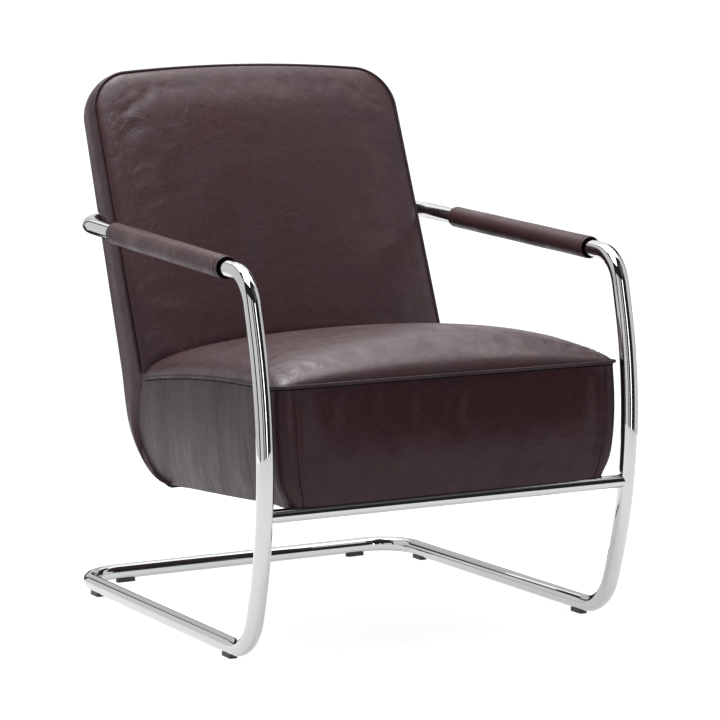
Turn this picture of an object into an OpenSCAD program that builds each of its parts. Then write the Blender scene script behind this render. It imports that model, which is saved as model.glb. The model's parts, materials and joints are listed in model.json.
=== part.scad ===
// Cantilever lounge chair: a bent tube frame that carries one padded seat and back.
// The chair faces -Y, +Z is up, and it stands on z = 0 centred on its outline.

/* [Tube frame] */
// Outer diameter of the bent steel tube
tube_d = 25; // [22:0.5:30]
// Wall of the bent steel tube
tube_wall = 2; // [1.5:0.25:3]
// Width between the floor runners, centre to centre
base_w = 592; // [540:2:680]
// How much further apart the arms stand than the runners
arm_spread = 11; // [0:1:24]
// Length of a runner, from the rear bar to the corner point of its front bend
runner_len = 672; // [620:2:740]
// How far the legs bow forward, past the front bend's corner point
bow_reach = 96; // [70:2:120]
// Height of the bow's corner point over the runner
bow_h = 270; // [230:2:300]
// Height of the front end of the arms over the runner, at the corner point
arm_front_h = 543; // [500:2:600]
// Height of the rear end of the arms over the runner
arm_rear_h = 586; // [560:2:640]
// How far the arm's front corner point stands behind the bow's
arm_setback = 64; // [40:2:90]
// How far the rear top bar stands in front of the rear floor bar
back_bar_in = 50; // [30:2:70]
// Bend radius of the rear floor corners
floor_corner_r = 66; // [50:2:80]
// Bend radius between runner and leg
floor_bend_r = 80; // [70:1:110]
// Bend radius of the bowed leg
bow_r = 692; // [500:4:720]
// Bend radius between leg and arm
arm_bend_r = 58; // [45:1:75]
// Bend radius of the rear top corners
back_corner_r = 77; // [55:1:90]
// Length of the plugs that join the two frame halves
plug_len = 90; // [60:5:120]
// Wall of the plugs
plug_wall = 3; // [2:0.5:4]
// Diameter of the bar between the legs
crossbar_d = 20; // [16:1:24]
// Height of the bar between the legs over the runner
crossbar_h = 206; // [190:2:225]

/* [Glides] */
// Height of a glide under the tube
glide_h = 5; // [3:0.5:8]
// Length of a glide along the tube
glide_len = 32; // [20:1:40]
// Width of a glide
glide_w = 13; // [10:1:18]
// Diameter of the glide's pin
glide_pin_d = 6; // [4:0.5:8]

/* [Arm pads] */
// Length of an arm sleeve
sleeve_len = 417; // [360:1:500]
// Outer diameter of an arm sleeve
sleeve_d = 34; // [30:1:44]
// Bare tube between the front bend and the sleeve
sleeve_gap = 31; // [8:1:40]

/* [Padded shell] */
// Clearance between the shell's welts and the legs, on each side
side_gap = 15.5; // [12:0.5:40]
// How far the shell's front edge stands in front of the bar between the legs
front_over = 10; // [4:1:16]
// How much wider the seat's front is than its rear, on each side
seat_flare = 12.5; // [0:0.5:16]
// How far the shell's sides swell between the welts and the underside
seat_swell = 3; // [0:0.5:6]
// Height of the seat's boxing, from its underside to its welt
seat_h = 167; // [140:1:200]
// Backward tilt of the seat, degrees
seat_tilt = 3.65; // [1:0.05:6]
// Rise of the seat's side welt over its chord
welt_rise = 9; // [0:1:16]
// Crown of the seat over its welts at the back
seat_crown_rear = 38; // [20:1:60]
// Crown of the seat over its welts towards the front
seat_crown_front = 66; // [30:1:70]
// Lean of the rear face of the back, degrees
rear_lean = 18.7; // [14:0.05:23]
// Lean of the front face of the back, degrees
front_lean = 21.9; // [17:0.05:26]
// How far the back rises past the rear bar, along its slope
back_rise = 232; // [200:2:280]
// Thickness of the back at its top edge
back_top_t = 46; // [44:1:60]
// Crown of the back over its welts
back_crown = 34; // [20:1:44]
// Drop of the back's top edge from the middle to the corners
back_arch = 15; // [4:1:20]
// Corner radius of the back's top corners
back_corner = 60; // [30:1:70]
// Corner radius of the seat's front corners
seat_corner = 24; // [12:1:36]
// How far the shell's sides draw in towards the underside
draw_in = 9; // [2:1:10]
// Radius of the rounded heel under the back
heel_r = 144; // [110:2:180]
// Bulge of the seat's front
seat_bulge = 9; // [4:1:12]
// Bulge of the seat's sides
side_bulge = 4; // [2:1:8]
// Bulge of the back's boxing
back_bulge = 7.5; // [1:0.5:10]
// Thickness of the leather
leather_t = 1.5; // [1:0.1:2]
// Diameter of the piping
piping_d = 6; // [4:0.5:8]

/* [Inner frame] */
// Thickness of the plywood side boards
board_t = 18; // [15:1:24]
// Padding between a side board and the welts
side_pad = 16; // [12:1:24]
// Height of the seat rails
rail_h = 88; // [70:1:100]
// Width of the back stiles
stile_w = 40; // [34:1:44]
// Thickness of the front rail
front_rail_t = 40; // [36:1:46]
// Thickness of the rear rail
rail_t = 24; // [18:1:30]
// Height of the rear rail
rear_rail_h = 40; // [30:1:44]
// Height of the rails in the back
back_rail_h = 60; // [50:1:80]
// Width of a rubber strap
strap_w = 60; // [40:5:80]
// Thickness of a rubber strap
strap_t = 2.5; // [1.5:0.5:3]
// Number of straps under the seat
seat_strap_count = 5; // [3:1:6]
// Number of straps across the back
back_strap_count = 4; // [3:1:5]

/* [Hidden] */
$fn = 48;
fine = 240;

// Colours
chrome = [0.80, 0.81, 0.83];
steel = [0.62, 0.63, 0.65];
leather = [0.24, 0.16, 0.17];
piping_brown = [0.20, 0.13, 0.14];
foam = [0.93, 0.87, 0.66];
wood = [0.80, 0.66, 0.46];
black = [0.07, 0.07, 0.07];
webbing = [0.45, 0.42, 0.36];

// One overrun serves all cuts that run out of a face
overrun = 1;
// Fit of what slides over a bolt, a pin or a plug
fit_gap = 0.2;
// Clearance of soft and loose pieces from their neighbours
soft_gap = 0.3;

// A bend draws the tube in by a hair, and the straights reach into it
bend_thin = 0.01;
bend_seat = 0.3;

// Levels and stations of the tube frame
tube_z = glide_h + tube_d / 2;
half_w = base_w / 2;
function spread_at(h) = arm_spread / 2 * h / arm_front_h;
function side_x(h) = half_w + spread_at(h);

// Points of one half of the frame, from the middle of the rear floor bar round to the middle
// of the rear top bar. The rear floor bar stands at y = rear_y.
bow_y_out = runner_len + bow_reach;
arm_y_out = bow_y_out - arm_setback;
function frame_points(s) = [
    [0, 0, 0],
    [s * half_w, 0, 0],
    [s * half_w, -runner_len, 0],
    [s * side_x(bow_h), -bow_y_out, bow_h],
    [s * side_x(arm_front_h), -arm_y_out, arm_front_h],
    [s * side_x(arm_rear_h), -back_bar_in, arm_rear_h],
    [0, -back_bar_in, arm_rear_h]];

// Directions, turns and tangent lengths of a bent path
function unit(v) = v / norm(v);
function heading(p, i) = unit(p[i + 1] - p[i]);
function turn(p, i) = acos(heading(p, i - 1) * heading(p, i));
function trim(p, r, i) = i == 0 || i == len(p) - 1 ? 0 : r[i] * tan(turn(p, i) / 2);
function span(p, i) = norm(p[i + 1] - p[i]);

// The leg's bow may take no more than the length that the bends beside it leave
probe = frame_points(1);
bow_room = min(span(probe, 2) - floor_bend_r * tan(turn(probe, 2) / 2),
               span(probe, 3) - arm_bend_r * tan(turn(probe, 4) / 2));
bow_radius = min(bow_r, (bow_room - overrun) / tan(turn(probe, 3) / 2));
frame_radii = [0, floor_corner_r, floor_bend_r, bow_radius, arm_bend_r, back_corner_r, 0];

// Centre of the arc that replaces corner i of a path
function arc_centre(p, r, i) =
    p[i] + unit(heading(p, i) - heading(p, i - 1)) * r[i] / cos(turn(p, i) / 2);

// The bow seen from the side: its centre, and its y at a height over the runner
bow_centre = arc_centre(probe, frame_radii, 3);
function bow_y(h) = bow_centre[1] - sqrt(pow(bow_radius, 2) - pow(h - bow_centre[2], 2));

// The outline runs from the bow's foremost point to the rear of the floor bar
rear_y = (bow_radius - bow_centre[1]) / 2;

// Bars that carry the shell, as [y, z] in the chair's frame
cross_y = rear_y + bow_y(crossbar_h);
cross_z = tube_z + crossbar_h;
back_bar_y = rear_y - back_bar_in;
back_bar_z = tube_z + arm_rear_h;

// Axes along Z turned to a direction
module aim(v) {
    rotate([0, acos(v[2] / norm(v)), atan2(v[1], v[0])])
        children();
}

module ring(d, wall) {
    difference() {
        circle(d = d);
        circle(d = d - 2 * wall);
    }
}

// One straight stretch of a tube
module straight(a, b, d, wall) {
    translate(a)
        aim(b - a)
            linear_extrude(norm(b - a))
                ring(d, wall);
}

// How far a straight ends from a corner point: it is seated a little way into the bend there
function end_trim(p, r, i) = i == 0 || i == len(p) - 1 ? 0 : trim(p, r, i) - bend_seat;

// One bend of a path with the section given as children
module bend(p, r, i, steps = fine) {
    c = arc_centre(p, r, i);
    u = unit(p[i] - heading(p, i - 1) * trim(p, r, i) - c);
    v = heading(p, i - 1);
    n = cross(u, v);
    multmatrix([[u[0], v[0], n[0], c[0]],
                [u[1], v[1], n[1], c[1]],
                [u[2], v[2], n[2], c[2]],
                [0, 0, 0, 1]])
        rotate_extrude(angle = turn(p, i), $fn = steps)
            translate([r[i], 0])
                children();
}

// A tube along a path with round bends
module bent_tube(p, r, d, wall) {
    for (i = [0 : len(p) - 2])
        straight(p[i] + heading(p, i) * end_trim(p, r, i),
                 p[i + 1] - heading(p, i) * end_trim(p, r, i + 1), d, wall);
    for (i = [1 : len(p) - 2])
        bend(p, r, i)
            ring(d - 2 * bend_thin, wall - 2 * bend_thin);
}

module in_frame() {
    translate([0, rear_y, tube_z])
        children();
}

// Both frame halves and all that sits on them are mirror pairs
module on_side(s) {
    if (s > 0)
        children();
    else
        mirror([1, 0, 0])
            children();
}

// Glide stations on the right half: floor position and the tube's direction there
glide_from_bend = 1;
glide_inset = glide_from_bend + glide_len / 2;
glide_front_y = rear_y - runner_len + trim(probe, frame_radii, 2) + glide_inset;
glide_side_y = rear_y - trim(probe, frame_radii, 1) - glide_inset;
glide_rear_x = half_w - trim(probe, frame_radii, 1) - glide_inset;
GLIDES = [[[half_w, glide_front_y], 90], [[half_w, glide_side_y], 90], [[glide_rear_x, rear_y], 0]];

// Bolts through the rear top bar, square to the back
bolt_d = 8;
back_bolt_x = base_w / 4;
back_spacer_t = 2;
back_spacer_d = 22;

module at_back_bolt(s) {
    translate([s * back_bolt_x, back_bar_y, back_bar_z])
        rotate([90 - rear_lean, 0, 0])
            children();
}

module tube_half(s) {
    difference() {
        in_frame()
            bent_tube(frame_points(s), frame_radii, tube_d, tube_wall);
        for (g = GLIDES)
            translate([s * g[0][0], g[0][1], 0])
                cylinder(d = glide_pin_d + fit_gap, h = tube_z);
        at_back_bolt(s)
            cylinder(d = bolt_d + fit_gap, h = tube_d + overrun, center = true);
    }
}

module frame_left() {
    color(chrome)
        tube_half(-1);
}

module frame_right() {
    color(chrome)
        tube_half(1);
}

// A plug sits inside both halves where they meet
module plug(y, z) {
    bore = tube_d - 2 * tube_wall - fit_gap;
    translate([0, y, z])
        rotate([0, 90, 0])
            linear_extrude(plug_len, center = true)
                ring(bore, plug_wall);
}

module floor_bar_plug() {
    color(steel)
        plug(rear_y, tube_z);
}

module back_bar_plug() {
    color(steel)
        plug(back_bar_y, back_bar_z);
}

// The bar is coped to the round of both legs
module front_crossbar() {
    color(chrome)
        difference() {
            translate([0, cross_y, cross_z])
                rotate([0, 90, 0])
                    linear_extrude(base_w + arm_spread, center = true)
                        ring(crossbar_d, tube_wall);
            for (s = [-1, 1])
                in_frame()
                    bend(frame_points(s), frame_radii, 3)
                        circle(d = tube_d - 2 * bend_thin);
        }
}

// Glides: a pad under the tube, hollowed to its round, with a pin in the tube's hole
saddle_share = 0.42;
glide_round = 4;
pin_reach = 3;
module glide(g, s) {
    translate([s * g[0][0], g[0][1], 0])
        rotate([0, 0, g[1]])
            difference() {
                union() {
                    linear_extrude(glide_h + saddle_share * tube_d / 2)
                        rounded_plate(glide_len, glide_w, glide_round);
                    cylinder(d = glide_pin_d, h = glide_h + tube_wall + pin_reach);
                }
                difference() {
                    translate([0, 0, tube_z])
                        rotate([0, 90, 0])
                            cylinder(d = tube_d, h = glide_len + 2 * overrun, center = true);
                    cylinder(d = glide_pin_d, h = tube_z);
                }
            }
}

// Plan of a plate with rounded corners
module rounded_plate(l, w, r) {
    square([l - 2 * r, w], center = true);
    square([l, w - 2 * r], center = true);
    for (i = [-1, 1])
        for (j = [-1, 1])
            translate([i * (l / 2 - r), j * (w / 2 - r)])
                circle(r = r);
}

module glide_front_left() {
    color(black)
        glide(GLIDES[0], -1);
}

module glide_front_right() {
    color(black)
        glide(GLIDES[0], 1);
}

module glide_side_left() {
    color(black)
        glide(GLIDES[1], -1);
}

module glide_side_right() {
    color(black)
        glide(GLIDES[1], 1);
}

module glide_rear_left() {
    color(black)
        glide(GLIDES[2], -1);
}

module glide_rear_right() {
    color(black)
        glide(GLIDES[2], 1);
}

// Arm pads, turned about the arm's axis from their front end
hem_inset = 7;
arm_heading = heading(probe, 4);
arm_start = probe[4] + arm_heading * (trim(probe, frame_radii, 4) + sleeve_gap);

module at_arm(s) {
    on_side(s)
        in_frame()
            translate(arm_start)
                aim(arm_heading)
                    children();
}

// Half section of a round pad, from the tube's skin out, rounded down to it at the rear end
module pad_section(outer, from, to) {
    depth = outer - tube_d / 2;
    intersection() {
        translate([tube_d / 2, from])
            square([depth, to - from]);
        union() {
            translate([0, from])
                square([outer, to - from - depth]);
            translate([tube_d / 2, to - depth])
                circle(r = depth);
        }
    }
}

// What sits round the tube keeps a fit's gap from it
module turned_pad() {
    rotate_extrude()
        difference() {
            children();
            square([tube_d / 2 + fit_gap / 2, sleeve_len + overrun]);
        }
}

module arm_padding(s) {
    color(foam)
        at_arm(s)
            turned_pad()
                pad_section(sleeve_d / 2 - leather_t, hem_inset, sleeve_len - leather_t);
}

module arm_cover(s) {
    color(leather)
        at_arm(s)
            turned_pad()
                difference() {
                    pad_section(sleeve_d / 2, 0, sleeve_len);
                    pad_section(sleeve_d / 2 - leather_t, -overrun, sleeve_len - leather_t);
                }
}

module arm_padding_left() {
    arm_padding(-1);
}

module arm_padding_right() {
    arm_padding(1);
}

module arm_cover_left() {
    arm_cover(-1);
}

module arm_cover_right() {
    arm_cover(1);
}

// Side view of the padded shell, as [y, z] points and directions
tab_t = 2.5;
outer_back_t = 3;
half_body = (base_w - tube_d) / 2 - side_gap;
under_dir = [cos(seat_tilt), -sin(seat_tilt)];
under_up = [sin(seat_tilt), cos(seat_tilt)];
rear_up = [sin(rear_lean), cos(rear_lean)];
rear_in = [-cos(rear_lean), sin(rear_lean)];
front_up = [sin(front_lean), cos(front_lean)];
front_out = [-cos(front_lean), sin(front_lean)];
under_pt = [cross_y, cross_z] + under_up * (crossbar_d / 2 + tab_t);
rear_pt = [back_bar_y, back_bar_z] + rear_in * (tube_d / 2 + back_spacer_t + outer_back_t);

function cross_of(u, v) = u[0] * v[1] - u[1] * v[0];
function meet(p, u, q, v) = p + u * cross_of(q - p, v) / cross_of(u, v);

// Corner points: the front edge below and above, the back's top edge, and the crease
front_under = meet(under_pt, under_dir, [cross_y - front_over, 0], [0, 1]);
front_top = front_under + [0, seat_h];
top_rear = rear_pt + rear_up * back_rise;
top_front = top_rear + rear_in * back_top_t;
crease = meet(front_top, under_dir, top_front, front_up);

// The heel under the back, as an arc that meets the underside and the rear face
heel_turn = acos(under_dir * rear_up);
heel_corner = meet(under_pt, under_dir, rear_pt, rear_up);
heel_low = heel_corner - under_dir * heel_r * tan(heel_turn / 2);
heel_high = heel_corner + rear_up * heel_r * tan(heel_turn / 2);
heel_centre = heel_low + under_up * heel_r;
heel_len = heel_r * heel_turn * PI / 180;
crease_level = (crease - heel_high) * rear_up;
crease_t = (crease - heel_high) * rear_in;

// A point of the rear outline, by its share of the way from the heel's low end to the crease's
// level, and the direction into the shell there
rear_run = heel_len + crease_level;
function heel_dir(f) = let(a = f * rear_run / heel_len * heel_turn - seat_tilt) [sin(a), -cos(a)];
function heel_at(f) = f * rear_run < heel_len ? heel_centre + heel_r * heel_dir(f)
                                              : heel_high + rear_up * (f * rear_run - heel_len);
function heel_in(f) = f * rear_run < heel_len ? -heel_dir(f) : rear_in;

// Crowns: full in the middle, falling off to the welts and to the free ends
crown_power = 0.44;
roll_power = 0.45;
seat_roll_power = 8;
back_roll_power = 9;
function falloff(x) = pow(1 - min(pow(x / half_body, 2), 1), crown_power);
function roll(t, n) = pow(1 - pow(t, n), roll_power);
function seat_rise(x, t) =
    (seat_crown_rear + (seat_crown_front - seat_crown_rear) * t) * falloff(x) * roll(t, seat_roll_power);

// How far a rounded corner of radius r cuts in at x, and how far the back's top edge drops
function corner_cut(x, r) = r - sqrt(r * r - pow(max(0, abs(x) - (half_body - r)), 2));
function top_drop(x) = back_arch * pow(x / half_body, 2) + corner_cut(x, back_corner);

// The surface that parts the seat from the back: it runs beside the rear outline at the bottom
// and comes forward to the crease
tail_t = 8;
tail_power = 2.5;
lift_power = 4;
function crease_at(x) = crease + front_up * seat_rise(x, 0) / cos(front_lean)
                        + front_out * back_crown * falloff(x);
function parting(x, f) = heel_at(f) + heel_in(f) * (tail_t + (crease_t - tail_t) * pow(f, tail_power))
                         + (crease_at(x) - crease) * pow(f, lift_power);

// The seat's top from the crease to the front edge, its front and its underside
function seat_end(x) = front_top + under_dir * corner_cut(x, seat_corner);
function seat_foot(x) = front_under + under_dir * corner_cut(x, seat_corner);
function seat_top(x, t) = crease_at(x) * (1 - t) + seat_end(x) * t
    + [0, 4 * welt_rise * t * (1 - t) + seat_rise(x, t) - seat_rise(x, 0) * (1 - t)];
function seat_front(x, f) = seat_end(x) * (1 - f) + seat_foot(x) * f - [seat_bulge * sin(180 * f), 0];
function seat_under(x, f) = seat_foot(x) * (1 - f) + heel_low * f;

// The back's front from the crease to its top edge, its head and its rear face
function back_end(x) = top_front - front_up * top_drop(x);
function back_brow(x) = top_rear - rear_up * top_drop(x);
function back_front(x, g) = crease_at(x) * (1 - g) + back_end(x) * g
    + front_out * back_crown * falloff(x) * (roll(g, back_roll_power) - (1 - g));
function back_head(x) = (back_end(x) + back_brow(x)) / 2 + rear_up * back_bulge;
function back_rear(x, g) = heel_at(1) * (1 - g) + back_brow(x) * g;

// Places along each stretch of the outlines, and across the shell
TOP_SHARES = [0.05, 0.13, 0.25, 0.4, 0.55, 0.69, 0.8, 0.88, 0.94, 0.98];
FRONT_SHARES = [0, 0.18, 0.4, 0.65, 0.88, 1];
UNDER_SHARES = [0.33, 0.67, 1];
PARTING_SHARES = [0, 0.2, 0.4, 0.6, 0.8, 1];
STATION_SHARES = [0.3, 0.55, 0.72, 0.82, 0.89, 0.94, 0.975, 0.993, 1];
PILLOW_SHARES = [0.9, 0.66, 0.34];
FOLD_SHARES = [0.12, 0.32];

function reversed(v) = [for (i = [len(v) - 1 : -1 : 0]) v[i]];

// Outlines at a station, all the same way round: what the leather covers comes first
function seat_outline(x) = concat(
    [for (f = reversed(FRONT_SHARES)) seat_front(x, f)],
    [for (t = reversed(TOP_SHARES)) seat_top(x, t)],
    [for (f = reversed(PARTING_SHARES)) parting(x, f)],
    [for (f = reversed(UNDER_SHARES)) seat_under(x, f)]);
seat_covered = len(FRONT_SHARES) + len(TOP_SHARES) + 1;
seat_fold_index = 2;

function back_outline(x) = concat(
    [for (g = concat([0], TOP_SHARES, [1])) back_front(x, g)],
    [back_head(x)],
    [for (g = reversed(concat(TOP_SHARES, [1]))) back_rear(x, g)],
    [for (f = reversed(PARTING_SHARES)) heel_at(f)],
    [for (f = PARTING_SHARES) if (f < 1) parting(x, f)]);
back_covered = len(TOP_SHARES) + 4;
back_fold_index = len(TOP_SHARES) + 2;

// An outline moved in by a distance, square to its edges
min_miter = 0.5;
function inward(a, b) = unit([b[1] - a[1], a[0] - b[0]]);
function inset(o, d) = [for (i = [0 : len(o) - 1])
    let(n = len(o),
        u = inward(o[(i + n - 1) % n], o[i]),
        v = inward(o[i], o[(i + 1) % n]))
    o[i] + d * (u + v) / max(1 + u * v, min_miter)];

// The sides swell and then draw in below the welts, and they flare from the crease forward.
// A skin's depth is taken off across the shell.
function below_welt(q) = max(0, min(1, cross_of(under_dir, front_top - q) / seat_h));
function forward(q) = max(0, min(1, (crease[0] - q[0]) / (crease[0] - front_top[0])));
function drawn(x, q) = let(b = below_welt(q))
    1 + (seat_swell * sin(180 * b) - draw_in * b * b) / half_body * pow(x / half_body, 2);
function flared(q) = 1 + seat_flare / half_body * forward(q);
function placed(x, q, skin) = [x * (1 - skin / half_body) * drawn(x, q) * flared(q), q[0], q[1]];

// The same outline inside the side pillows: shrunk to its middle, or folded towards itself
function middle(o) = [for (k = [0, 1]) (min([for (q = o) q[k]]) + max([for (q = o) q[k]])) / 2];
function shrunk(o, k) = let(c = middle(o)) [for (q = o) c + (q - c) * k];
function folded(o, k, fold) =
    [for (i = [0 : len(o) - 1]) o[i] * (1 - k) + o[(2 * fold - i + len(o)) % len(o)] * k];

function at_station(x, o, out, skin) = [for (q = o) placed(x, q, skin) + [sign(x) * out, 0, 0]];

// Rings across the seat and across the back, from side to side
STATIONS = concat([for (u = reversed(STATION_SHARES)) -u], [0], STATION_SHARES) * half_body;
function seat_side(s, skin) = let(o = inset(seat_outline(half_body), skin))
    [for (k = PILLOW_SHARES)
        at_station(s * half_body, shrunk(o, k), side_bulge * (1 - pow(k, 3)), skin)];
function back_side(s, skin) = let(o = inset(back_outline(half_body), skin))
    [for (k = FOLD_SHARES)
        at_station(s * half_body, folded(o, k, back_fold_index), back_bulge * sin(180 * k), skin)];
function seat_rings(skin) = concat(
    reversed(seat_side(-1, skin)),
    [for (x = STATIONS) at_station(x, inset(seat_outline(x), skin), 0, skin)],
    seat_side(1, skin));
function back_rings(skin) = concat(
    reversed(back_side(-1, skin)),
    [for (x = STATIONS) at_station(x, inset(back_outline(x), skin), 0, skin)],
    back_side(1, skin));

// Faces of a stack of rings of n points: quads between rings i and i + 1, and the end caps
function joined(lists) = [for (v = lists) for (q = v) q];
function quad(a, b, c, d) = [[a, b, c], [a, c, d]];
function between(i, j, n) = let(k = (j + 1) % n)
    quad(i * n + j, i * n + k, (i + 1) * n + k, (i + 1) * n + j);
function cap(i, n, fold) = [for (k = [0 : floor(n / 2) - 1])
    let(a = (fold + k) % n,
        b = (fold + k + 1) % n,
        c = (fold - k - 1 + n) % n,
        d = (fold - k + n) % n)
    for (f = [[a, b, c], [a, c, d]])
        if (f[0] != f[2] && f[1] != f[2])
            [for (q = f) i * n + q]];

module padded(rings, fold) {
    n = len(rings[0]);
    m = len(rings);
    polyhedron(joined(rings), concat(
        [for (i = [0 : m - 2]) for (j = [0 : n - 1]) for (f = between(i, j, n)) f],
        cap(m - 1, n, fold),
        [for (f = cap(0, n, fold)) reversed(f)]));
}

// A leather cover: two layers of the same rings. Between the side rings only the first points
// of each ring are covered, and a rim closes the leather's cut edge.
module covering(outer, inner, fold, covered, sides) {
    n = len(outer[0]);
    m = len(outer);
    layer = m * n;
    skin = concat(
        [for (i = [0 : m - 2]) for (j = [0 : n - 1])
            if (i < sides || i >= m - 1 - sides || j < covered - 1)
                for (f = between(i, j, n)) f],
        cap(m - 1, n, fold),
        [for (f = cap(0, n, fold)) reversed(f)]);
    // The cut edge runs across at both ends of the covered points and down the two side rings
    edge = concat(
        [for (i = [sides : m - 2 - sides]) [i * n, (i + 1) * n]],
        [for (i = [sides : m - 2 - sides]) [(i + 1) * n, i * n] + [1, 1] * (covered - 1)],
        [for (j = [covered - 1 : n - 1]) [j, (j + 1) % n] + [1, 1] * sides * n],
        [for (j = [covered - 1 : n - 1]) [(j + 1) % n, j] + [1, 1] * (m - 1 - sides) * n]);
    polyhedron(concat(joined(outer), joined(inner)), concat(
        skin,
        [for (f = skin) reversed(f) + [1, 1, 1] * layer],
        [for (e = edge) for (f = quad(e[0], e[1], e[1] + layer, e[0] + layer)) f]));
}

// Shapes drawn in the side view, as [y, z], and carried across the chair
module across(w) {
    rotate([90, 0, 90])
        linear_extrude(w, center = true)
            children();
}

// Inner frame: side boards with rails between them
front_pad = 8;
top_pad = 11;
board_x = half_body - side_pad;
stile_top = back_rise - top_drop(board_x) - top_pad;
board_front = front_under + under_dir * front_pad;
stile_end = rear_pt + rear_up * stile_top;

// Points round the heel at a radius, from its high end to its low end
heel_steps = 24;
function heel_arc(r) = [for (k = [heel_steps : -1 : 0])
    let(a = heel_turn * k / heel_steps - seat_tilt)
    heel_centre + r * [sin(a), -cos(a)]];

// Side view of what stands in the foam: seat limb and back limb, of given depths
function limbs(seat_depth, back_depth) = let(
    stile_face = stile_end + rear_in * back_depth,
    seat_face = board_front + under_up * seat_depth)
    [seat_face, meet(seat_face, under_dir, stile_face, rear_up), stile_face];

module side_board(s) {
    color(wood)
        translate([s * (board_x - board_t / 2), 0, 0])
            across(board_t)
                polygon(concat([board_front], limbs(rail_h, stile_w), [stile_end],
                               heel_arc(heel_r)));
}

module side_board_left() {
    side_board(-1);
}

module side_board_right() {
    side_board(1);
}

// Foam rests on the straps: it keeps off the boards by a strap and a clearance
strap_zone = strap_t + soft_gap;
module foam_hollow() {
    across(2 * board_x + 2 * soft_gap)
        polygon(concat(
            [board_front - under_up * overrun],
            limbs(rail_h + strap_zone, stile_w + strap_zone),
            [stile_end - rear_in * overrun, heel_corner - (rear_in + under_up) * overrun]));
}

// The rear top bends lie in the back's rear corners: what is soft there keeps clear of them
relief_steps = 96;
relief_sides = 32;
module bend_relief() {
    for (s = [-1, 1])
        in_frame()
            bend(frame_points(s), frame_radii, 5, relief_steps)
                circle(d = tube_d + 2 * soft_gap, $fn = relief_sides);
}

module seat_foam() {
    color(foam)
        difference() {
            padded(seat_rings(leather_t), seat_fold_index);
            foam_hollow();
        }
}

module back_foam() {
    color(foam)
        difference() {
            padded(back_rings(leather_t), back_fold_index);
            foam_hollow();
            bend_relief();
        }
}

module seat_cover() {
    color(leather)
        covering(seat_rings(0), seat_rings(leather_t), seat_fold_index, seat_covered,
                 len(PILLOW_SHARES));
}

module back_cover() {
    color(leather)
        difference() {
            covering(back_rings(0), back_rings(leather_t), back_fold_index, back_covered,
                     len(FOLD_SHARES));
            bend_relief();
        }
}

// Piping: a cord along a welt, just clear of the leather on both sides of the edge
welt_angle = 18;
piping_sides = 8;
piping_clear = 0.15;
piping_start = piping_d / norm(front_top - crease);

function seat_welt() = concat(
    [for (t = concat([piping_start], TOP_SHARES, [1])) placed(half_body, seat_top(half_body, t), 0)],
    [for (x = reversed(STATIONS)) if (abs(x) < half_body) placed(x, seat_end(x), 0)],
    [for (t = concat([1], reversed(TOP_SHARES), [piping_start]))
        placed(-half_body, seat_top(half_body, t), 0)]);
function back_welt() = concat(
    [for (g = concat([piping_start], TOP_SHARES, [1])) placed(-half_body, back_front(half_body, g), 0)],
    [for (x = STATIONS) if (abs(x) < half_body) placed(x, back_end(x), 0)],
    [for (g = concat([1], reversed(TOP_SHARES), [piping_start]))
        placed(half_body, back_front(half_body, g), 0)]);

// Rings of a cord that stands off the welt, between outwards and the crown's direction
function cord_rings(p, crown) = [for (i = [0 : len(p) - 1])
    let(t = unit(p[min(i + 1, len(p) - 1)] - p[max(i - 1, 0)]),
        out = unit(cross(crown, t)),
        side = cross(t, out),
        stand = piping_d / 2 + piping_clear,
        c = p[i] + (out * cos(welt_angle) + crown * sin(welt_angle)) * stand)
    [for (k = [0 : piping_sides - 1]) let(a = -360 * k / piping_sides)
        c + (out * cos(a) + side * sin(a)) * piping_d / 2]];

module seat_piping() {
    color(piping_brown)
        padded(cord_rings(seat_welt(), [0, 0, 1]), 0);
}

module back_piping() {
    color(piping_brown)
        padded(cord_rings(back_welt(), [0, front_out[0], front_out[1]]), 0);
}

// Section of the skin behind the back and round the heel
module outer_back_section() {
    polygon(concat(
        [top_rear],
        heel_arc(heel_r),
        reversed(heel_arc(heel_r + outer_back_t)),
        [top_rear - rear_in * outer_back_t]));
}

// Outline of the rear face, across and up its slope from the bolts' level
module rear_outline() {
    foot = heel_low - rear_up * outer_back_t;
    side = [for (q = concat([foot], [for (f = PARTING_SHARES) heel_at(f)]))
        [half_body * drawn(half_body, q), (q - rear_pt) * rear_up]];
    polygon(concat(
        [for (e = side) [-e[0], e[1]]],
        [for (x = STATIONS) [x, back_rise - top_drop(x)]],
        reversed(side)));
}

module outer_back() {
    color(leather)
        difference() {
            intersection() {
                across(2 * half_body + overrun)
                    outer_back_section();
                multmatrix([[1, 0, 0, 0],
                            [0, rear_up[0], rear_in[0], rear_pt[0]],
                            [0, rear_up[1], rear_in[1], rear_pt[1]],
                            [0, 0, 0, 1]])
                    linear_extrude(3 * heel_r, center = true)
                        rear_outline();
            }
            for (s = [-1, 1])
                at_back_bolt(s)
                    cylinder(d = bolt_d + fit_gap, h = heel_r);
            bend_relief();
        }
}

// Rails between the side boards: a bar from point p, w along u and h along v
rail_len = 2 * (board_x - board_t);
module rail(p, u, w, v, h) {
    across(rail_len)
        polygon([p, p + u * w, p + u * w + v * h, p + v * h]);
}

inner_corner = limbs(rail_h, stile_w)[1];
thread_len = 30;

module at_seat_bolt(s) {
    translate([s * tab_x, under_pt[0], under_pt[1]])
        rotate([-seat_tilt, 0, 0])
            translate([0, tab_bolt_y, 0])
                children();
}

module front_rail() {
    color(wood)
        difference() {
            rail(board_front, under_dir, front_rail_t, under_up, rail_h);
            for (s = [-1, 1])
                at_seat_bolt(s)
                    cylinder(d = bolt_d + fit_gap, h = 2 * (thread_len + overrun), center = true);
        }
}

module rear_rail() {
    color(wood)
        rail(inner_corner - under_up * rear_rail_h, -under_dir, rail_t, under_up, rear_rail_h);
}

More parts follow.
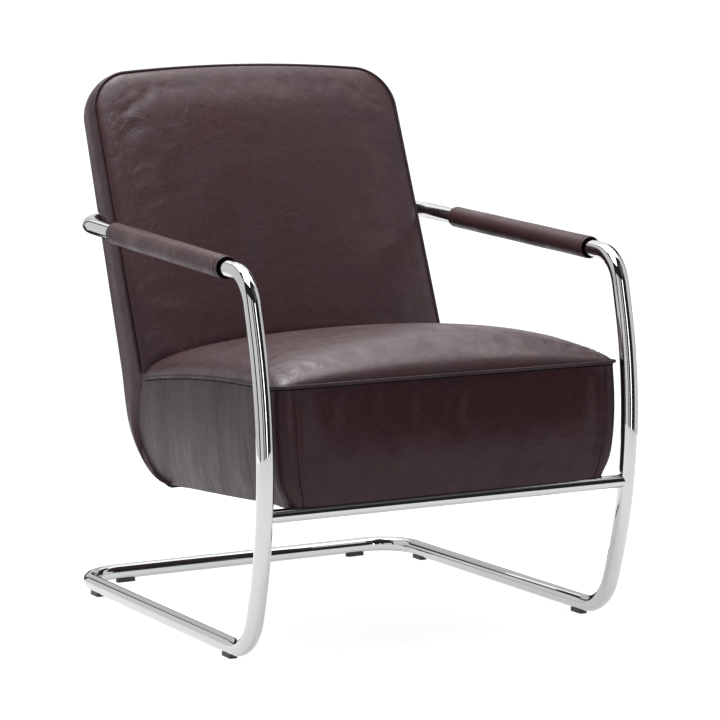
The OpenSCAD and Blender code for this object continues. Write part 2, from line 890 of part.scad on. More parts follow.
module back_rail() {
    color(wood)
        difference() {
            rail(rear_pt - rear_up * back_rail_h / 2, rear_in, stile_w, rear_up, back_rail_h);
            for (s = [-1, 1])
                at_back_bolt(s)
                    cylinder(d = bolt_d + fit_gap, h = back_thread_end + overrun);
        }
}

module top_rail() {
    color(wood)
        rail(stile_end - rear_up * back_rail_h, rear_in, stile_w, rear_up, back_rail_h);
}

// Rubber straps: lengthwise on the seat's rails, crosswise on the stiles' front edges
strap_inset = 4;
seat_strap_len = norm(inner_corner - board_front - under_up * rail_h) - 2 * strap_inset;
back_strap_span = (stile_end - inner_corner) * rear_up;

module seat_straps() {
    start = board_front + under_up * rail_h + under_dir * strap_inset;
    color(webbing)
        for (i = [0 : seat_strap_count - 1])
            translate([rail_len * ((i + 0.5) / seat_strap_count - 0.5), 0, 0])
                across(strap_w)
                    polygon([
                        start,
                        start + under_dir * seat_strap_len,
                        start + under_dir * seat_strap_len + under_up * strap_t,
                        start + under_up * strap_t]);
}

module back_straps() {
    color(webbing)
        for (i = [0 : back_strap_count - 1]) {
            level = back_strap_span * ((i + 0.5) / back_strap_count) - strap_w / 2;
            start = inner_corner + rear_up * level;
            across(2 * (board_x - strap_inset))
                polygon([
                    start,
                    start + rear_up * strap_w,
                    start + rear_up * strap_w + rear_in * strap_t,
                    start + rear_in * strap_t]);
        }
}

// Tabs on the bar between the legs, and the bolts up through them
tab_x_share = 0.3;
tab_x = base_w * tab_x_share;
tab_w = 34;
tab_len = 42;
tab_front = 2;
tab_round = 6;
tab_sink = 0.8;
tab_bolt_clear = 12;
tab_bolt_y = crossbar_d / 2 + tab_bolt_clear;
hex_across = 13;
hex_h = 5.3;

module crossbar_tab(s) {
    color(chrome)
        difference() {
            at_seat_bolt(s)
                translate([0, tab_len / 2 - tab_front - tab_bolt_y, -tab_t - tab_sink])
                    linear_extrude(tab_t + tab_sink)
                        rounded_plate(tab_w, tab_len, tab_round);
            translate([0, cross_y, cross_z])
                rotate([0, 90, 0])
                    cylinder(d = crossbar_d, h = base_w, center = true);
            at_seat_bolt(s)
                cylinder(d = bolt_d + fit_gap, h = 3 * tab_t, center = true);
        }
}

module crossbar_tab_left() {
    crossbar_tab(-1);
}

module crossbar_tab_right() {
    crossbar_tab(1);
}

module seat_bolts() {
    color(steel)
        for (s = [-1, 1])
            at_seat_bolt(s) {
                translate([0, 0, -tab_t - tab_sink - hex_h])
                    cylinder(d = hex_across / cos(30), h = hex_h, $fn = 6);
                translate([0, 0, -tab_t - tab_sink - hex_h / 2])
                    cylinder(d = bolt_d, h = thread_len + tab_t);
            }
}

// Bolts through the rear top bar, their heads and spacers saddled to the tube
head_d = 16;
head_h = 4.5;
back_thread_end = tube_d / 2 + back_spacer_t + outer_back_t + thread_len;

module back_bolts() {
    color(steel)
        for (s = [-1, 1])
            at_back_bolt(s) {
                difference() {
                    rotate([180, 0, 0])
                        cylinder(d = head_d, h = tube_d / 2 + head_h);
                    rotate([0, 90, 0])
                        cylinder(d = tube_d, h = 2 * head_d, center = true);
                }
                translate([0, 0, -tube_d / 2 - head_h / 2])
                    cylinder(d = bolt_d, h = back_thread_end + tube_d / 2 + head_h / 2);
            }
}

module back_spacers() {
    color(black)
        for (s = [-1, 1])
            at_back_bolt(s)
                difference() {
                    cylinder(d = back_spacer_d, h = tube_d / 2 + back_spacer_t);
                    rotate([0, 90, 0])
                        cylinder(d = tube_d, h = 2 * back_spacer_d, center = true);
                    cylinder(d = bolt_d + fit_gap, h = tube_d + overrun);
                }
}

// Black sheet under the seat, behind the tabs
dust_t = 1;
module dust_cover() {
    start = under_pt + under_dir * (tab_len - tab_front + overrun);
    color(black)
        across(2 * board_x)
            polygon([
                start,
                heel_low,
                heel_low - under_up * dust_t,
                start - under_up * dust_t]);
}

frame_left();
frame_right();
floor_bar_plug();
back_bar_plug();
front_crossbar();
crossbar_tab_left();
crossbar_tab_right();
glide_front_left();
glide_front_right();
glide_side_left();
glide_side_right();
glide_rear_left();
glide_rear_right();
arm_padding_left();
arm_padding_right();
arm_cover_left();
arm_cover_right();
side_board_left();
side_board_right();
front_rail();
rear_rail();
back_rail();
top_rail();
seat_straps();
back_straps();
seat_foam();
back_foam();
seat_cover();
back_cover();
seat_piping();
back_piping();
outer_back();
dust_cover();
seat_bolts();
back_bolts();
back_spacers();
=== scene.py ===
import json
import math

import bmesh
import bpy
import numpy as np
from mathutils import Matrix, Vector


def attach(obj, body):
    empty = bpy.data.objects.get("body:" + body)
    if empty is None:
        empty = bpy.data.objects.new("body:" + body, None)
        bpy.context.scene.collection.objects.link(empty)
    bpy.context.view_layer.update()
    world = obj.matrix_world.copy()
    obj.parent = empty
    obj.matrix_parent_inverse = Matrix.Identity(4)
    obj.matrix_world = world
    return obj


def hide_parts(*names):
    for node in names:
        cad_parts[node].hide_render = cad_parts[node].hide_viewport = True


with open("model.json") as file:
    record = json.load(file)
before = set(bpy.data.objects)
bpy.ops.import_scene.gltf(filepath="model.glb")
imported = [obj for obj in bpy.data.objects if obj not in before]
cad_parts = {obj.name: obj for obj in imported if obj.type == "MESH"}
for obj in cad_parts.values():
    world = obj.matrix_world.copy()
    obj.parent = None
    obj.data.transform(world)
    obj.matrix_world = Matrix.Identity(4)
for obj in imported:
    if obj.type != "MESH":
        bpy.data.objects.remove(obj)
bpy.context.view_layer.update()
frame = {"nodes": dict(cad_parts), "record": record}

MM = 0.001

# Sizes shared with the part's source, under its names, in millimetres and degrees: first the frame
TUBE_D = 25.0
BASE_W = 592.0
ARM_SPREAD = 11.0
RUNNER_LEN = 672.0
BOW_REACH = 96.0
BOW_H = 270.0
ARM_FRONT_H = 543.0
ARM_REAR_H = 586.0
ARM_SETBACK = 64.0
BACK_BAR_IN = 50.0
BOW_R = 692.0
ARM_BEND_R = 58.0
BACK_CORNER_R = 77.0
CROSSBAR_D = 20.0
CROSSBAR_H = 206.0
GLIDE_H = 5.0
TAB_T = 2.5

# Then the arm sleeves
SLEEVE_LEN = 417.0
SLEEVE_D = 34.0
SLEEVE_GAP = 31.0

# Then the padded shell
SIDE_GAP = 15.5
FRONT_OVER = 10.0
SEAT_FLARE = 12.5
SEAT_SWELL = 3.0
SEAT_H = 167.0
SEAT_TILT = 3.65
WELT_RISE = 9.0
SEAT_CROWN_REAR = 38.0
SEAT_CROWN_FRONT = 66.0
REAR_LEAN = 18.7
FRONT_LEAN = 21.9
BACK_RISE = 232.0
BACK_TOP_T = 46.0
BACK_CROWN = 34.0
BACK_ARCH = 15.0
BACK_CORNER = 60.0
SEAT_CORNER = 24.0
DRAW_IN = 9.0
HEEL_R = 144.0
SEAT_BULGE = 9.0
SIDE_BULGE = 4.0
BACK_BULGE = 7.5
PIPING_D = 6.0
OUTER_BACK_T = 3.0
BACK_SPACER_T = 2.0

# Forms of the leather, some of them simpler or missing in the source. Lengths are in millimetres
CROWN_POWER = 0.44  # how full a crown is across the chair: 0.5 would be an ellipse
ROLL_POWER, BACK_ROLL = 0.45, 9  # how a crown rolls down to a free end: the higher the second, the later
SEAT_ROLL_POWER, SEAT_ROLL = 0.5, 6
CREASE_DROOP, DROOP_POWER = 7.0, 6  # how much lower the crease lies at the sides
TAIL_T, TAIL_POWER = 3.0, 2.5  # thickness of the back at its lower end, and how it grows up to the crease
LIFT_POWER = 4
SEAM_X = 238.5  # the front's upright seams, from the middle
STITCH_DIP, STITCH_W = 1.8, 1.1  # depth and half width of a seam's own groove
HOLLOW_DIP, HOLLOW_W = 2.4, 22.0  # the same for the leather round it
GROOVE_RATE = 12  # both are full from 1/12 of the way down the front
FRONT_FLAT, FLAT_POWER = 0.75, 4  # how much less the front bulges at its sides, as a share, and how late
# The front's lower edge: how far it turns in, from which share of the way down on, and how late
FOOT_TURN, TURN_START, TURN_POWER = 4.0, 0.86, 2.2
FOOT_DROP, DROP_POWER = 4.5, 12  # how far it hangs, and how late
# The front's lower corners: how far they draw in, and from which share of the way down on
FOOT_TUCK, TUCK_START = 15.0, 0.72
TUCK_FRONT, TUCK_LOW, TUCK_SIDE = 6, 2.4, 10  # powers that keep this to the front, the foot and the sides
BOXING_EASE, EASE_POWER = 0.35, 0.7  # the share of the boxing over which it comes out from its welt, and how
BOXING_ROLL = 3  # how late it goes back in to the rear's edge
TUBE_CLEAR = 0.4  # room between the tube and the leather that it dents

TUBE_Z = GLIDE_H + TUBE_D / 2
HALF_W = BASE_W / 2
HB = (BASE_W - TUBE_D) / 2 - SIDE_GAP  # half the width between the shell's welts
UP = np.array([0, 0, 1.0])


def unit(v):
    v = np.asarray(v, float)
    return v / np.linalg.norm(v)


def cross2(a, b):
    return a[0] * b[1] - a[1] * b[0]


def meet(p, u, q, v):
    """Where a line from p along u crosses a line from q along v."""
    return p + u * (cross2(q - p, v) / cross2(u, v))


def clamped(v):
    return max(0, min(1, v))


def late(f, start, power):
    """0 up to start, then rising to 1 at f = 1."""
    return max(0, (f - start) / (1 - start)) ** power


def eased(n):
    """n + 1 places from 0 to 1, closer together towards 1."""
    return [math.sin(math.pi / 2 * i / n) for i in range(n + 1)]


def circle(n, full=2 * math.pi):
    """n angles round a circle, backwards where full is negative."""
    return np.linspace(0, full, n, endpoint=False)


# The tube's corner points on the right side, from the middle of the floor bar to the middle of the back bar
PATH = [np.array(p, float) for p in (
    (0, 0, 0),
    (HALF_W, 0, 0),
    (HALF_W, -RUNNER_LEN, 0),
    (HALF_W + ARM_SPREAD / 2 * BOW_H / ARM_FRONT_H, -RUNNER_LEN - BOW_REACH, BOW_H),
    (HALF_W + ARM_SPREAD / 2, -RUNNER_LEN - BOW_REACH + ARM_SETBACK, ARM_FRONT_H),
    (HALF_W + ARM_SPREAD / 2 * ARM_REAR_H / ARM_FRONT_H, -BACK_BAR_IN, ARM_REAR_H),
    (0, -BACK_BAR_IN, ARM_REAR_H))]
BOW, ARM, REAR = 3, 4, 5


def heading(i):
    return unit(PATH[i + 1] - PATH[i])


def turn(i):
    return math.acos(np.clip(heading(i - 1) @ heading(i), -1, 1))


def trim(i, r):
    """How far from corner i a bend of radius r starts."""
    return r * math.tan(turn(i) / 2)


def bend_centre(i, r):
    return PATH[i] + unit(heading(i) - heading(i - 1)) * r / math.cos(turn(i) / 2)


bow_centre = bend_centre(BOW, BOW_R)
REAR_Y = (BOW_R - bow_centre[1]) / 2
FRAME_AT = np.array([0, REAR_Y, TUBE_Z])
crossbar_y = REAR_Y + bow_centre[1] - math.sqrt(BOW_R ** 2 - (CROSSBAR_H - bow_centre[2]) ** 2)
CROSSBAR = np.array([crossbar_y, TUBE_Z + CROSSBAR_H])
BACK_BAR = np.array([REAR_Y - BACK_BAR_IN, TUBE_Z + ARM_REAR_H])


# The shell's side view: points and directions are pairs of y and z
def lean(deg):
    """Up along a face that leans back by deg, and square to it towards the front."""
    a = math.radians(deg)
    return np.array([math.sin(a), math.cos(a)]), np.array([-math.cos(a), math.sin(a)])


tilt = math.radians(SEAT_TILT)
UNDER = np.array([math.cos(tilt), -math.sin(tilt)])
UNDER_UP = np.array([math.sin(tilt), math.cos(tilt)])
REAR_UP, REAR_IN = lean(REAR_LEAN)
FRONT_UP, FRONT_OUT = lean(FRONT_LEAN)
under_pt = CROSSBAR + UNDER_UP * (CROSSBAR_D / 2 + TAB_T)
rear_pt = BACK_BAR + REAR_IN * (TUBE_D / 2 + BACK_SPACER_T + OUTER_BACK_T)
FRONT_UNDER = meet(under_pt, UNDER, np.array([CROSSBAR[0] - FRONT_OVER, 0]), np.array([0, 1.0]))
FRONT_TOP = FRONT_UNDER + np.array([0, SEAT_H])
TOP_REAR = rear_pt + REAR_UP * BACK_RISE
TOP_FRONT = TOP_REAR + REAR_IN * BACK_TOP_T
CREASE = meet(FRONT_TOP, UNDER, TOP_FRONT, FRONT_UP)
HEEL_TURN = math.acos(UNDER @ REAR_UP)
heel_corner = meet(under_pt, UNDER, rear_pt, REAR_UP)
HEEL_LOW = heel_corner - UNDER * HEEL_R * math.tan(HEEL_TURN / 2)
HEEL_HIGH = heel_corner + REAR_UP * HEEL_R * math.tan(HEEL_TURN / 2)
HEEL_C = HEEL_LOW + UNDER_UP * HEEL_R
HEEL_LEN = HEEL_R * HEEL_TURN
CREASE_T = (CREASE - HEEL_HIGH) @ REAR_IN
REAR_RUN = HEEL_LEN + (CREASE - HEEL_HIGH) @ REAR_UP


def heel_dir(f):
    """Outwards from the heel's centre, at a share f of the rear face between seat and crease."""
    a = f * REAR_RUN / HEEL_LEN * HEEL_TURN - tilt
    return np.array([math.sin(a), -math.cos(a)])


def heel_at(f):
    """A point of the rear face: round the heel first, then straight up to the crease's level at f = 1."""
    if f * REAR_RUN < HEEL_LEN:
        return HEEL_C + HEEL_R * heel_dir(f)
    return HEEL_HIGH + REAR_UP * (f * REAR_RUN - HEEL_LEN)


def heel_in(f):
    """Into the shell, square to the rear face."""
    return -heel_dir(f) if f * REAR_RUN < HEEL_LEN else REAR_IN


def falloff(x):
    """A crown's height across the chair: 1 in the middle, 0 at the welts."""
    return (1 - min((x / HB) ** 2, 1)) ** CROWN_POWER


def roll(t, n, power):
    """1 over most of the way, then rolled down to 0 at t = 1: the higher n, the later."""
    return max(1 - t ** n, 0) ** power


def seat_rise(x, t):
    """Height of the seat's crown over its welts, from the crease at t = 0 to the front at t = 1."""
    crown = SEAT_CROWN_REAR + (SEAT_CROWN_FRONT - SEAT_CROWN_REAR) * t
    return crown * falloff(x) * roll(t, SEAT_ROLL, SEAT_ROLL_POWER)


def corner_cut(x, r):
    """How much a corner of radius r takes off an edge."""
    return r - math.sqrt(max(r * r - max(0, abs(x) - (HB - r)) ** 2, 0))


def top_drop(x):
    return BACK_ARCH * (x / HB) ** 2 + corner_cut(x, BACK_CORNER)


def crease_at(x):
    droop = CREASE_DROOP * abs(x / HB) ** DROOP_POWER
    rise = seat_rise(x, 0) / math.cos(math.radians(FRONT_LEAN)) - droop
    return CREASE + FRONT_UP * rise + FRONT_OUT * BACK_CROWN * falloff(x)


def parting(x, f):
    """Where seat and back lie against each other, from the heel's lower end up to the crease."""
    return (heel_at(f) + heel_in(f) * (TAIL_T + (CREASE_T - TAIL_T) * f ** TAIL_POWER)
            + (crease_at(x) - CREASE) * f ** LIFT_POWER)


def seat_end(x):
    """The seat's front welt."""
    return FRONT_TOP + UNDER * corner_cut(x, SEAT_CORNER)


def seat_foot(x):
    """The front's lower edge."""
    return FRONT_UNDER + UNDER * corner_cut(x, SEAT_CORNER)


def seat_top(x, t):
    arched = 4 * WELT_RISE * t * (1 - t)
    return (crease_at(x) * (1 - t) + seat_end(x) * t
            + np.array([0, arched + seat_rise(x, t) - seat_rise(x, 0) * (1 - t)]))


def seam_dip(x):
    """The front's leather pulls in at the upright seams beside its corners."""
    d = abs(x) - SEAM_X
    return STITCH_DIP * math.exp(-(d / STITCH_W) ** 2) + HOLLOW_DIP * math.exp(-(d / HOLLOW_W) ** 2)


def seat_front(x, f):
    """The front from its welt down to its foot: bulged, less so at its sides, and turned in below."""
    turned = FOOT_TURN * late(f, TURN_START, TURN_POWER)
    bulged = SEAT_BULGE * math.sin(math.pi * f) * (1 - FRONT_FLAT * abs(x / HB) ** FLAT_POWER)
    inwards = turned - bulged + seam_dip(x) * min(1, GROOVE_RATE * f)
    return seat_end(x) * (1 - f) + seat_foot(x) * f + np.array([inwards, -FOOT_DROP * f ** DROP_POWER])


def seat_under(x, f):
    return seat_foot(x) * (1 - f) + HEEL_LOW * f


def back_end(x):
    """The welt over the back's front."""
    return TOP_FRONT - FRONT_UP * top_drop(x)


def back_brow(x):
    """The upper edge of the back's rear."""
    return TOP_REAR - REAR_UP * top_drop(x)


def back_front(x, g):
    return (crease_at(x) * (1 - g) + back_end(x) * g
            + FRONT_OUT * BACK_CROWN * falloff(x) * (roll(g, BACK_ROLL, ROLL_POWER) - (1 - g)))


def boxing(f):
    """How far the back's boxing stands out, from its welt to its rear edge."""
    return BACK_BULGE * math.sqrt(max(0, 1 - f ** BOXING_ROLL)) * min(1, f / BOXING_EASE) ** EASE_POWER


def corner_turn(x):
    """Which way the boxing faces there: 0 up, a quarter turn to the side."""
    return math.asin(min(1, max(0, (abs(x) - (HB - BACK_CORNER)) / BACK_CORNER)))


def back_head(x, f):
    """The boxing over the back, from the front's welt to the rear's upper edge."""
    return (back_end(x) * (1 - f) + back_brow(x) * f
            + REAR_UP * boxing(f) * math.cos(corner_turn(x)))


def back_rear(x, g):
    return heel_at(1) * (1 - g) + back_brow(x) * g


def below_welt(q):
    """How far down a point is: 0 at the seat's welt and over it, 1 at its underside."""
    return clamped(cross2(UNDER, FRONT_TOP - q) / SEAT_H)


def drawn(x, q):
    """How much wider the shell is at a point's height than at its welts."""
    below = below_welt(q)
    return 1 + (SEAT_SWELL * math.sin(math.pi * below) - DRAW_IN * below ** 2) / HB * (x / HB) ** 2


def placed(x, q, out=0.0):
    """A point of the side view at x, flared to the front, with its lower corners tucked in."""
    forward = clamped((CREASE[0] - q[0]) / (CREASE[0] - FRONT_TOP[0]))
    tuck = (FOOT_TUCK * forward ** TUCK_FRONT * late(below_welt(q), TUCK_START, TUCK_LOW)
            * abs(x / HB) ** TUCK_SIDE)
    wide = drawn(x, q) * (1 + SEAT_FLARE / HB * forward) - tuck / HB
    return np.array([x * wide + math.copysign(out, x), q[0], q[1]])


# Sections across the chair, closer together at the sides and at the front's seams
HALF_STATIONS = 34
SEAM_OFFSETS = (-6, -3, -1.6, -0.8, 0, 0.8, 1.6, 3, 6)
half = sorted(eased(HALF_STATIONS) + [(SEAM_X + d) / HB for d in SEAM_OFFSETS])
STATIONS = [-u * HB for u in reversed(half[1:])] + [u * HB for u in half]


ARM_BESIDE = 60  # how much of the arm goes with the rear bend
BEND_STEP, BEND_STEPS = 1.0, 120  # distance of its points on the straights, and their number in the bend


def rear_bend():
    """Centre line of the right rear top bend, with a little of the arm before it and the bar after it."""
    a, b = heading(ARM), heading(REAR)
    t = trim(REAR, BACK_CORNER_R)
    c = bend_centre(REAR, BACK_CORNER_R)
    u = unit(PATH[REAR] - a * t - c)
    pts = [PATH[REAR] - a * d for d in np.arange(t + ARM_BESIDE, t, -BEND_STEP)]
    pts += [c + BACK_CORNER_R * (u * math.cos(w) + a * math.sin(w))
            for w in np.linspace(0, turn(REAR), BEND_STEPS)]
    pts += [PATH[REAR] + b * d for d in np.arange(t, PATH[REAR][0], BEND_STEP)]
    return np.array(pts) + FRAME_AT


BEND = rear_bend()
BEND_BEFORE, BEND_HIGH = 30, 45  # only points less than this in front of the bend, over or under it are tried
DENT_SOFT, DENT_REACH = 1.6, 8  # how softly the leather gives way, and how many times that a dent reaches


def dented(verts):
    """Leather gives way round the tube: near points move off its centre line, smoothly."""
    held_at = TUBE_D / 2 + TUBE_CLEAR
    out = []
    for v in verts:
        m = np.array([abs(v[0]), v[1], v[2]])
        if v[1] > BEND[:, 1].min() - BEND_BEFORE and abs(v[2] - BEND[0, 2]) < BEND_HIGH:
            gap = m - BEND
            d = np.sqrt((gap ** 2).sum(1))
            i = int(d.argmin())
            if d[i] < held_at + DENT_REACH * DENT_SOFT:
                far = held_at + DENT_SOFT * math.log1p(math.exp((d[i] - held_at) / DENT_SOFT))
                m = BEND[i] + gap[i] / d[i] * far
        out.append(np.array([math.copysign(m[0], v[0]), m[1], m[2]]))
    return out


# Meshes
def add_mesh(name, verts, faces, smooth_deg=40, weld=False):
    """A new object from points in millimetres. Edges sharper than smooth_deg stay sharp."""
    me = bpy.data.meshes.new(name)
    me.from_pydata([tuple(v * MM) for v in verts], [], faces)
    if weld:
        bm = bmesh.new()
        bm.from_mesh(me)
        bmesh.ops.remove_doubles(bm, verts=bm.verts, dist=0.02 * MM)
        bm.to_mesh(me)
        bm.free()
    me.validate()
    me.update()
    me.shade_smooth()
    me.set_sharp_from_angle(angle=math.radians(smooth_deg))
    ob = bpy.data.objects.new(name, me)
    bpy.context.scene.collection.objects.link(ob)
    return ob


def band(base, n):
    """The faces between the ring of n points that starts at base and the ring after it."""
    return [(base + j, base + n + j, base + n + (j + 1) % n, base + (j + 1) % n) for j in range(n)]


def loft(name, rings, cap=True, smooth_deg=40, dent=False, weld=False):
    """A skin over closed rings of points, its two ends closed with fans where cap is true."""
    n = len(rings[0])
    verts = [v for r in rings for v in r]
    if dent:
        verts = dented(verts)
    faces = [f for i in range(len(rings) - 1) for f in band(i * n, n)]
    if cap:
        for base, flip in ((0, True), ((len(rings) - 1) * n, False)):
            centre = len(verts)
            verts.append(sum(verts[base:base + n]) / n)
            for j in range(n):
                f = (base + j, base + (j + 1) % n, centre)
                faces.append(f[::-1] if flip else f)
    return add_mesh(name, verts, faces, smooth_deg, weld)


CLOTH = {"quality": 4, "mass": 0.3, "tension_stiffness": 20, "compression_stiffness": 20,
         "bending_stiffness": 2, "shrink_min": -0.012, "use_pressure": True, "uniform_pressure_force": 4}
CLOTH_FRAMES = 16
CLOTH_CAP = 4 * MM  # how far a point may swell
SET_BACK = 0.8  # the share of the cap by which free points are then set back


def settle(ob, loose):
    """Cloth on its filling: loose points swell between the pinned seams, by less than the cap.

    Then they are set back by a share of the cap, so that the result stays near the drawn shape."""
    scene = bpy.context.scene
    rest = np.array([v.co for v in ob.data.vertices])
    pins = ob.vertex_groups.new(name="pins")
    for i, w in enumerate(loose):
        pins.add([i], 1 - w, "REPLACE")
    cloth = ob.modifiers.new("cloth", "CLOTH")
    for key, value in CLOTH.items():
        setattr(cloth.settings, key, value)
    cloth.settings.vertex_group_mass = "pins"
    cloth.settings.effector_weights.gravity = 0
    cloth.point_cache.frame_end = CLOTH_FRAMES
    for f in range(1, CLOTH_FRAMES + 1):
        scene.frame_set(f)
    shape = ob.evaluated_get(bpy.context.evaluated_depsgraph_get()).data
    move = np.array([v.co for v in shape.vertices]) - rest
    ob.modifiers.remove(cloth)
    ob.vertex_groups.remove(pins)
    scene.frame_set(1)
    far = np.maximum(np.linalg.norm(move, axis=1), 1e-9)[:, None]
    move *= CLOTH_CAP * np.tanh(far / CLOTH_CAP) / far
    outwards = np.array([v.normal for v in ob.data.vertices]) * np.array(loose)[:, None]
    move -= SET_BACK * CLOTH_CAP * outwards
    furthest = float(np.linalg.norm(move, axis=1).max() / MM)
    print("settled", ob.name, "by up to", round(furthest, 2), "mm")
    ob.data.vertices.foreach_set("co", (rest + move).ravel())
    ob.data.update()


# How far from a seam the leather comes free: in millimetres, then as shares of the front and of the crown
SEAT_SIDE_REACH, SEAT_SEAM_REACH = 45, 20
FRONT_REACH, SEAT_WELT_REACH, SEAT_CREASE_REACH = 0.2, 0.07, 0.12
BACK_SIDE_REACH, BACK_TOP_REACH, BACK_CREASE_REACH = 60, 55, 40
BACK_PROUD = 4  # the back's front is what stands further than this before the line from crease to top
LOOSE_POWER = 1.5  # how gently the leather comes free


def near(gap, reach):
    """0 on a seam, 1 from reach on, where the leather is free."""
    return min(1, max(0, gap) / reach) ** LOOSE_POWER


# Seat: a ring goes up the front, over the crown, down the parting and back under the seat
FRONT_N, CROWN_N, PARTING_N, UNDER_N = 19, 46, 16, 10
DOWN = list(np.linspace(0, 1, FRONT_N))
OVER = eased(CROWN_N)
ALONG = np.linspace(0, 1, PARTING_N + 1)[:-1]


def seat_outline(x):
    return ([seat_front(x, f) for f in reversed(DOWN)]
            + [seat_top(x, t) for t in reversed(OVER[:-1])]
            + [parting(x, f) for f in reversed(ALONG)]
            + [seat_under(x, f) for f in reversed(np.linspace(0, 1, UNDER_N + 1)[1:])])


# A side is drawn as the last section's outline, shrunk step by step towards its middle
PILLOW = [0.985, 0.965, 0.94, 0.91, 0.87, 0.82, 0.75, 0.66, 0.54, 0.4, 0.24, 0.1]
PILLOW_ROLL, PILLOW_POWER = 3, 0.9  # how its bulge rolls down to its edges


def seat_side(s):
    o = seat_outline(HB)
    c = (np.min(o, 0) + np.max(o, 0)) / 2
    bulges = [SIDE_BULGE * (1 - k ** PILLOW_ROLL) ** PILLOW_POWER for k in PILLOW]
    return [[placed(s * HB, c + (q - c) * k, bulge) for q in o] for k, bulge in zip(PILLOW, bulges)]


seat_rings = (seat_side(-1)[::-1] + [[placed(x, q) for q in seat_outline(x)] for x in STATIONS]
              + seat_side(1))
seat = loft("seat_leather", seat_rings, smooth_deg=60)
RING_N = len(seat_rings[0])


def seat_loose():
    """How free each point of the seat is: only the crown and the front are, between their seams."""
    held_side = [0.0] * (len(PILLOW) * RING_N)
    out = []
    for x in STATIONS:
        side = near(HB - abs(x), SEAT_SIDE_REACH)
        seam = near(SEAM_X - abs(x), SEAT_SEAM_REACH)
        out += [near(f, FRONT_REACH) * near(1 - f, FRONT_REACH) * seam for f in reversed(DOWN)]
        out += [side * near(1 - t, SEAT_WELT_REACH) * near(t, SEAT_CREASE_REACH) for t in reversed(OVER[:-1])]
        out += [0.0] * (PARTING_N + UNDER_N)
    end_centres = [0.0, 0.0]
    return held_side + out + held_side + end_centres


settle(seat, seat_loose())

# Back: a ring goes up the front, over the head, down the rear and the heel, and up the parting
HEAD_N = 7
HEAD_START = CROWN_N + 1
HEAD_MIDDLE = HEAD_START + HEAD_N // 2
PARTING_START = HEAD_START + HEAD_N + CROWN_N + 1 + PARTING_N


def back_outline(x):
    return ([back_front(x, g) for g in OVER]
            + [back_head(x, f) for f in np.linspace(0, 1, HEAD_N + 2)[1:-1]]
            + [back_rear(x, g) for g in reversed(OVER)]
            + [heel_at(f) for f in reversed(ALONG)]
            + [parting(x, f) for f in ALONG])


def boxing_share(i):
    """A ring point's share of the way over the boxing: 0 on the front, 1 on the rear."""
    if i < HEAD_START or i >= PARTING_START:
        return 0.0
    return min(1.0, (i - HEAD_START + 1) / (HEAD_N + 1))


def back_ring(x):
    out = [placed(x, q) for q in back_outline(x)]
    for i in range(HEAD_START, HEAD_START + HEAD_N):
        out[i][0] += math.copysign(boxing(boxing_share(i)) * math.sin(corner_turn(x)), x)
    return out


def boxing_point(s, o, i, k):
    """A point of a side's boxing, a share k of the way from ring point i to the one across from it."""
    f = boxing_share(i)
    across = o[(2 * HEAD_MIDDLE - i) % len(o)]
    return placed(s * HB, o[i] * (1 - k) + across * k, boxing(f * (1 - k) + (1 - f) * k))


# The sides' boxing closes where front and rear points have both come half way
FOLD = [0.008, 0.02, 0.04, 0.07, 0.11, 0.16, 0.23, 0.31, 0.4, 0.5]


def back_side(s):
    o = back_outline(HB)
    return [[boxing_point(s, o, i, k) for i in range(len(o))] for k in FOLD]


back_rings = back_side(-1)[::-1] + [back_ring(x) for x in STATIONS] + back_side(1)
back = loft("back_leather", back_rings, cap=False, smooth_deg=70, dent=True, weld=True)


def back_loose():
    """By place: free on the crowned front, held at its welt, at the crease and behind it."""
    out = []
    for v in back.data.vertices:
        x = v.co[0] / MM
        q = np.array([v.co[1], v.co[2]]) / MM
        level = (q - CREASE) @ FRONT_UP
        top = (TOP_FRONT - CREASE) @ FRONT_UP - top_drop(x)
        w = near(HB - abs(x), BACK_SIDE_REACH) * near(top - level, BACK_TOP_REACH)
        on_front = (q - CREASE) @ FRONT_OUT > BACK_PROUD
        out.append(w * near(level - seat_rise(x, 0), BACK_CREASE_REACH) if on_front else 0.0)
    return out


settle(back, back_loose())

# Cords, and a thin black cord just under the seat's cord that paints the shadow line beneath it. CORD_TURN is
# how far up they stand off their welts
CORD_SIDES = 14
CORD_R = 0.43 * PIPING_D
CORD_STAND = CORD_R + 0.1
CORD_TURN = math.radians(18)
SHADOW_LINE_R, SHADOW_LINE_STAND, SHADOW_LINE_BELOW = 0.7, 0.4, 3.9


def cord(name, points, crown, radius, stand):
    """A round cord that stands off a welt, between outwards and the crown's direction."""
    rings = []
    for i, p in enumerate(points):
        t = unit(points[min(i + 1, len(points) - 1)] - points[max(i - 1, 0)])
        out = unit(np.cross(crown, t))
        side = np.cross(t, out)
        c = p + (out * math.cos(CORD_TURN) + crown * math.sin(CORD_TURN)) * stand
        rings.append([c + (out * math.cos(w) + side * math.sin(w)) * radius
                      for w in circle(CORD_SIDES, -2 * math.pi)])
    return loft(name, rings, smooth_deg=60)


CREASE_END = 0.004  # the cords start just clear of the crease
ARC_N = 60
ARC = [t for t in eased(ARC_N) if t > CREASE_END]
seat_welt = ([placed(HB, seat_top(HB, t)) for t in ARC]
             + [placed(x, seat_end(x)) for x in reversed(STATIONS[1:-1])]
             + [placed(-HB, seat_top(HB, t)) for t in reversed(ARC)])
back_welt = ([placed(-HB, back_front(HB, g)) for g in ARC]
             + [placed(x, back_end(x)) for x in STATIONS[1:-1]]
             + [placed(HB, back_front(HB, g)) for g in reversed(ARC)])
# A thin black cord under the seat's welt: a painted shadow line
seat_shadow_line = cord("seat_shadow_line", [q - UP * SHADOW_LINE_BELOW for q in seat_welt], UP, SHADOW_LINE_R, SHADOW_LINE_STAND)
seat_cord = cord("seat_cord", seat_welt, UP, CORD_R, CORD_STAND)
back_cord = cord("back_cord", back_welt, np.array([0, *FRONT_OUT]), CORD_R, CORD_STAND)

